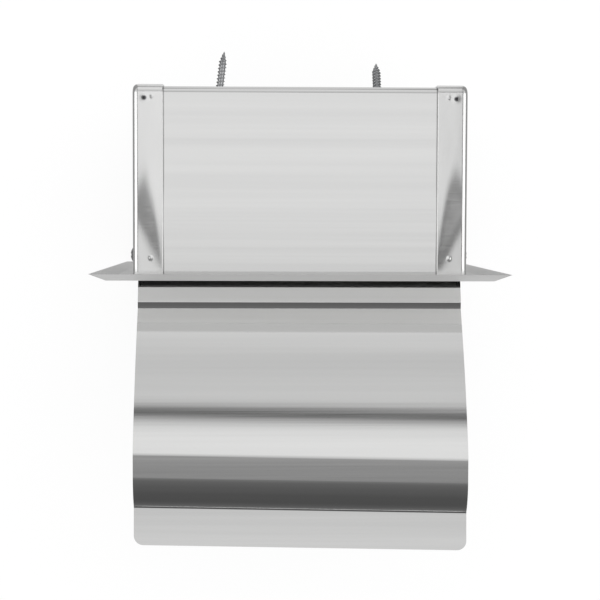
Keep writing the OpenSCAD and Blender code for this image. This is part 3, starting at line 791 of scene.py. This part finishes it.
def make_side_plate(side):
    work = bmesh.new()
    fold_steps = 12
    across_steps = 26
    along_steps = 150
    rear_steps = 220
    mid = SHEET / 2
    bend = FOLD_R - mid
    edge = HALF_H - CORNER_R
    rear = BOX_D - CORNER_R
    section = [Vector((-HALF_W + mid, BOX_FRONT, z)) for z in (edge, HALF_H - FOLD_R)]
    for k in range(1, fold_steps + 1):
        a = math.radians(90 * k / fold_steps)
        section.append(Vector((-HALF_W + FOLD_R - bend * math.cos(a), BOX_FRONT,
                               HALF_H - FOLD_R + bend * math.sin(a))))
    flange = STRIP_W - FOLD_R
    section += [Vector((-HALF_W + FOLD_R + flange * k / across_steps, BOX_FRONT, HALF_H - mid))
                for k in range(1, across_steps + 1)]
    edges = chain(work, section)
    length = rear - BOX_FRONT
    edges = drawn(work, edges, (0, length, 0), along_steps)
    edges = swept(work, edges, (0, rear, edge), (1, 0, 0), -90, fold_steps)
    edges = drawn(work, edges, (0, 0, -2 * edge), rear_steps)
    edges = swept(work, edges, (0, rear, -edge), (1, 0, 0), -90, fold_steps)
    drawn(work, edges, (0, -length, 0), along_steps)
    bmesh.ops.remove_doubles(work, verts=work.verts, dist=1e-4)

    # Spot welds on the top and the bottom, then on the back: place across and along, diameter and depth
    plain = [(6.9, 5.6, 2.0, 0.16), (DARK_SPOT_IN, BOX_D - DARK_SPOT_BACK, 4.2, 0.05),
             (DARK_SPOT_IN, BOX_D - DARK_SPOT_BACK, 1.9, 0.08), (7.4, BOX_D - 5.0, 1.3, 0.14)]
    back = [(WELD_IN, at, 3.0, 0.2) for at in (-38, 0, 38)]
    for v in work.verts:
        x = v.co.x + HALF_W
        if x < FOLD_R:
            continue
        if abs(v.co.z) > HALF_H - SHEET:
            v.co.z += math.copysign(lift(x, v.co.y) - pressed_in(x, v.co.y, plain), v.co.z)
        elif v.co.y > BOX_D - SHEET:
            v.co.y -= pressed_in(x, v.co.z, back)

    # Web, with the holes for the pivot screw and the roller's pin
    corners = [(BOX_FRONT, -edge), (rear, -edge), (rear, edge), (BOX_FRONT, edge)]
    verts = [work.verts.new((-HALF_W + mid, y, z)) for y, z in corners]
    ring = [work.edges.new(pair) for pair in zip(verts, verts[1:] + verts[:1])]
    for y, z, d in ((PIVOT_Y, PIVOT_Z, PIVOT_D + 2 * PIVOT_GAP), (ROLLER_Y, ROLLER_Z, PIN_HOLE_D)):
        turn = Matrix.Translation((-HALF_W + mid, y, z)) @ Matrix.Rotation(math.radians(90), 4, "Y")
        hole = bmesh.ops.create_circle(work, segments=40, radius=d / 2, matrix=turn)["verts"]
        rim = drawn(work, list({e for v in hole for e in v.link_edges}), (0, 0, 0))
        grow = 1 + 2 * HOLE_FLAT / d
        bmesh.ops.scale(work, verts=list({v for e in rim for v in e.verts}), vec=(1, grow, grow),
                        space=Matrix.Translation((HALF_W - mid, -y, -z)))
        ring += rim
    bmesh.ops.triangle_fill(work, use_beauty=True, edges=ring)
    if side > 0:
        bmesh.ops.scale(work, verts=work.verts, vec=(-1, 1, 1))
    name = "left" if side < 0 else "right"
    return finish_piece(work, name + "_side_pan", "recess_box", [name + "_side_plate"],
                        PRESSED, SHEET, rim=0.22)


# Trim flange: a square dished frame, its outline carried round the opening in rings with rounded corners
def make_trim():
    work = bmesh.new()
    steps = 6
    tightest = 0.15
    half = TRIM_W / 2
    angle = math.atan2(TRIM_OUT, BEVEL_W)
    fold = half - BEVEL_W - TRIM_FOLD_R * math.tan(angle / 2)

    def folded(radius):
        bends = [math.pi / 2 - angle * (1 - k / steps) for k in range(steps + 1)]
        return [(fold + radius * math.cos(a), TRIM_OUT - TRIM_FOLD_R + radius * math.sin(a))
                for a in bends]

    outer = [(half, 0.0)] + folded(TRIM_FOLD_R)
    inner = folded(TRIM_FOLD_R - SHEET)[::-1] + [(half - SHEET / math.sin(angle), 0.0)]
    open_w = HALF_W - SHEET
    open_h = HALF_H - 2 * SHEET
    outline = [(w, w, out) for w, out in outer]
    outline += [(open_w, open_h, TRIM_OUT), (open_w, open_h, TRIM_OUT - SHEET)]
    outline += [(w, w, out) for w, out in inner]
    rings = []
    for wide, high, out in outline:
        round_r = max(TRIM_CORNER_R - (half - wide), tightest)
        ring = []
        for quarter in range(4):
            sx = math.copysign(1, math.cos(math.pi / 4 + quarter * math.pi / 2))
            sz = math.copysign(1, math.sin(math.pi / 4 + quarter * math.pi / 2))
            for k in range(steps + 1):
                a = math.pi / 2 * (quarter + k / steps)
                ring.append(work.verts.new((sx * (wide - round_r) + round_r * math.cos(a), -out,
                                            sz * (high - round_r) + round_r * math.sin(a))))
        rings.append(ring)
    # The flat face, between the bevel's fold and the opening, has the duller grain
    for n, (ring, following) in enumerate(zip(rings, rings[1:] + rings[:1])):
        for j, vert in enumerate(ring):
            face = work.faces.new((ring[j - 1], vert, following[j], following[j - 1]))
            face.material_index = int(n == len(outer) - 1)
    piece = finish_piece(work, "trim_frame", "recess_box", ["trim_flange"], SATIN,
                         rim=0.12, sharp=30)
    piece.data.materials.append(GRAINED)
    return piece


# Turned pieces are spun about +Z first, then laid along +X
def turned(work, profile, turns=96):
    """Spins a profile of (radius, height) about +Z into a closed skin."""
    edges = chain(work, [Vector((r, 0, h)) for r, h in profile])
    verts = list({v for e in edges for v in e.verts})
    bmesh.ops.spin(work, geom=edges + verts, cent=(0, 0, 0), axis=(0, 0, 1), angle=2 * math.pi,
                   steps=turns, use_merge=True)
    bmesh.ops.remove_doubles(work, verts=work.verts, dist=1e-4)


def lay_along_x(work):
    bmesh.ops.rotate(work, verts=work.verts, matrix=Matrix.Rotation(math.radians(90), 3, "Y"))
    bmesh.ops.translate(work, verts=work.verts, vec=(0, ROLLER_Y, ROLLER_Z))


def soft_corner(r, h, radius, start, steps=4):
    """Points round a corner of a profile, from one heading through a quarter turn; angles in degrees."""
    return [(r + radius * math.cos(math.radians(start + 90 * k / steps)),
             h + radius * math.sin(math.radians(start + 90 * k / steps))) for k in range(steps + 1)]


def make_sleeve():
    work = bmesh.new()
    r = SLEEVE_D / 2
    pin = PIN_D / 2
    bottom = -ROLLER_END + ROLLER_WALL
    profile = [(0, -PIN_TIP)] + soft_corner(pin - PIN_NOSE_R, -PIN_TIP + PIN_NOSE_R, PIN_NOSE_R, -90)
    profile += [(pin, -ROLLER_END)]
    profile += soft_corner(r - ROLLER_SOFT_R, -ROLLER_END + ROLLER_SOFT_R, ROLLER_SOFT_R, -90)
    profile += soft_corner(r - SLEEVE_MOUTH_R, SLEEVE_END - SLEEVE_MOUTH_R, SLEEVE_MOUTH_R, 0, 3)
    profile += [(r - ROLLER_WALL, SLEEVE_END), (r - ROLLER_WALL, bottom), (0, bottom)]
    turned(work, profile)
    lay_along_x(work)
    return finish_piece(work, "sleeve_tube", "roller", ["roller_sleeve"], CHROME, rim=0)


def make_plunger():
    work = bmesh.new()
    r = PLUNGER_D / 2
    collar = SLEEVE_D / 2
    pin = PIN_D / 2
    start = PLUNGER_START + SPRING_EASE
    profile = [(0, start)] + soft_corner(r - ROLLER_SOFT_R, start + ROLLER_SOFT_R, ROLLER_SOFT_R, -90)
    profile += [(r, ROLLER_END - COLLAR_LEN)]
    profile += soft_corner(collar - COLLAR_EDGE_R, ROLLER_END - COLLAR_LEN + COLLAR_EDGE_R,
                           COLLAR_EDGE_R, -90, 3)
    profile += soft_corner(collar - ROLLER_SOFT_R, ROLLER_END - ROLLER_SOFT_R, ROLLER_SOFT_R, 0)
    profile += [(pin, ROLLER_END)]
    profile += soft_corner(pin - PIN_NOSE_R, PIN_TIP - PIN_NOSE_R, PIN_NOSE_R, 0) + [(0, PIN_TIP)]
    turned(work, profile)
    lay_along_x(work)
    return finish_piece(work, "plunger_tube", "plunger", ["roller_plunger"], CHROME,
                        rim=0)


def make_spring():
    """The solid's own coil, riding on the roller; it is not drawn to close up as the plunger slides in."""
    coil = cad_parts["roller_spring"]
    piece = bpy.data.objects.new("coil_spring", coil.data.copy())
    bpy.context.scene.collection.objects.link(piece)
    piece.data.materials.clear()
    piece.data.materials.append(WIRE)
    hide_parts("roller_spring")
    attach(piece, "roller")
    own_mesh(piece)


# Wood screws: a spun body and head, with a thread wound round it up to the point
def thread_radius(height):
    """Share of the full thread left at a height above the underside of the head."""
    left = SCREW_LEN - height
    return 1.0 if left > SCREW_TIP else max(left / SCREW_TIP, 0.0) ** 0.8


def make_wood_screw(name, x, droop, lean):
    work = bmesh.new()
    core = SCREW_CORE
    crest = SCREW_D / 2
    bodyline = [(0, -SCREW_HEAD_H)]
    rim_h = SCREW_HEAD_H / 3
    rise = SCREW_HEAD_H - rim_h
    ball = ((SCREW_HEAD_D / 2) ** 2 + rise * rise) / (2 * rise)
    for k in range(1, 9):
        r = SCREW_HEAD_D / 2 * k / 8
        bodyline.append((r, -rim_h - (math.sqrt(ball * ball - r * r) - (ball - rise))))
    bodyline += [(SCREW_HEAD_D / 2, 0), (core, 0)]
    for k in range(1, 13):
        height = SCREW_LEN * k / 12
        bodyline.append((core * thread_radius(height), height))
    bodyline[-1] = (0, SCREW_LEN)
    turned(work, bodyline, 40)
    # The thread's ridge is a wedge, wound upwards a pitch for each turn
    first = THREAD_START
    turns = (SCREW_LEN - first - THREAD_STOP) / THREAD_PITCH
    steps = int(turns * 24)
    wedge = [(core - THREAD_SUNK, first - THREAD_FOOT * THREAD_PITCH), (crest, first),
             (core - THREAD_SUNK, first + THREAD_FOOT * THREAD_PITCH)]
    before = set(work.verts)
    verts = [work.verts.new((r, 0, h)) for r, h in wedge]
    face = work.faces.new(verts)
    bmesh.ops.spin(work, geom=[face] + list(face.edges) + verts, cent=(0, 0, 0), axis=(0, 0, 1),
                   angle=2 * math.pi * turns, steps=steps, dvec=(0, 0, THREAD_PITCH * turns / steps))
    for v in set(work.verts) - before:
        share = thread_radius(v.co.z)
        v.co.x *= share
        v.co.y *= share
    # Laid along +Y, then loose in its slot as the CAD part is
    bmesh.ops.rotate(work, verts=work.verts, matrix=Matrix.Rotation(math.radians(-90), 3, "X"))
    inside_back = BOX_D - 2 * SHEET
    tilt = math.acos(math.cos(math.radians(droop)) * math.cos(math.radians(lean)))
    back_off = SCREW_HEAD_D / 2 * math.sin(tilt) + SCREW_PLAY
    down = math.tan(math.radians(droop))
    lie = (SLOT_Z - SLOT_H / 2 + SCREW_D / 2 / math.cos(math.radians(droop)) + SHEET / 2 * down
           + SCREW_PLAY)
    reach = back_off + SHEET / 2
    turn = Matrix.Rotation(math.radians(-lean), 3, "Z") @ Matrix.Rotation(math.radians(-droop), 3, "X")
    bmesh.ops.rotate(work, verts=work.verts, matrix=turn)
    place = (x - reach * math.tan(math.radians(lean)), inside_back - back_off, lie + reach * down)
    bmesh.ops.translate(work, verts=work.verts, vec=place)
    return finish_piece(work, name + "_threaded", "recess_box", [name], ZINC, rim=0)


make_hood()
make_ear(-1)
make_ear(1)
make_wrap_sheet()
make_side_plate(-1)
make_side_plate(1)
make_trim()
make_sleeve()
make_plunger()
make_spring()
make_wood_screw("left_wood_screw", -SLOT_X, LEFT_DROOP, LEFT_LEAN)
make_wood_screw("right_wood_screw", SLOT_X, RIGHT_DROOP, 0.0)

# These nodes keep their solids, and only their materials are better
KEPT = {
    "left_pivot_screw": ZINC, "right_pivot_screw": ZINC, "left_lock_nut": ZINC, "right_lock_nut": ZINC,
    "left_friction_washer": NYLON, "right_friction_washer": NYLON}
for node_name, finish in KEPT.items():
    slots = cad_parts[node_name].data.materials
    slots.clear()
    slots.append(finish)
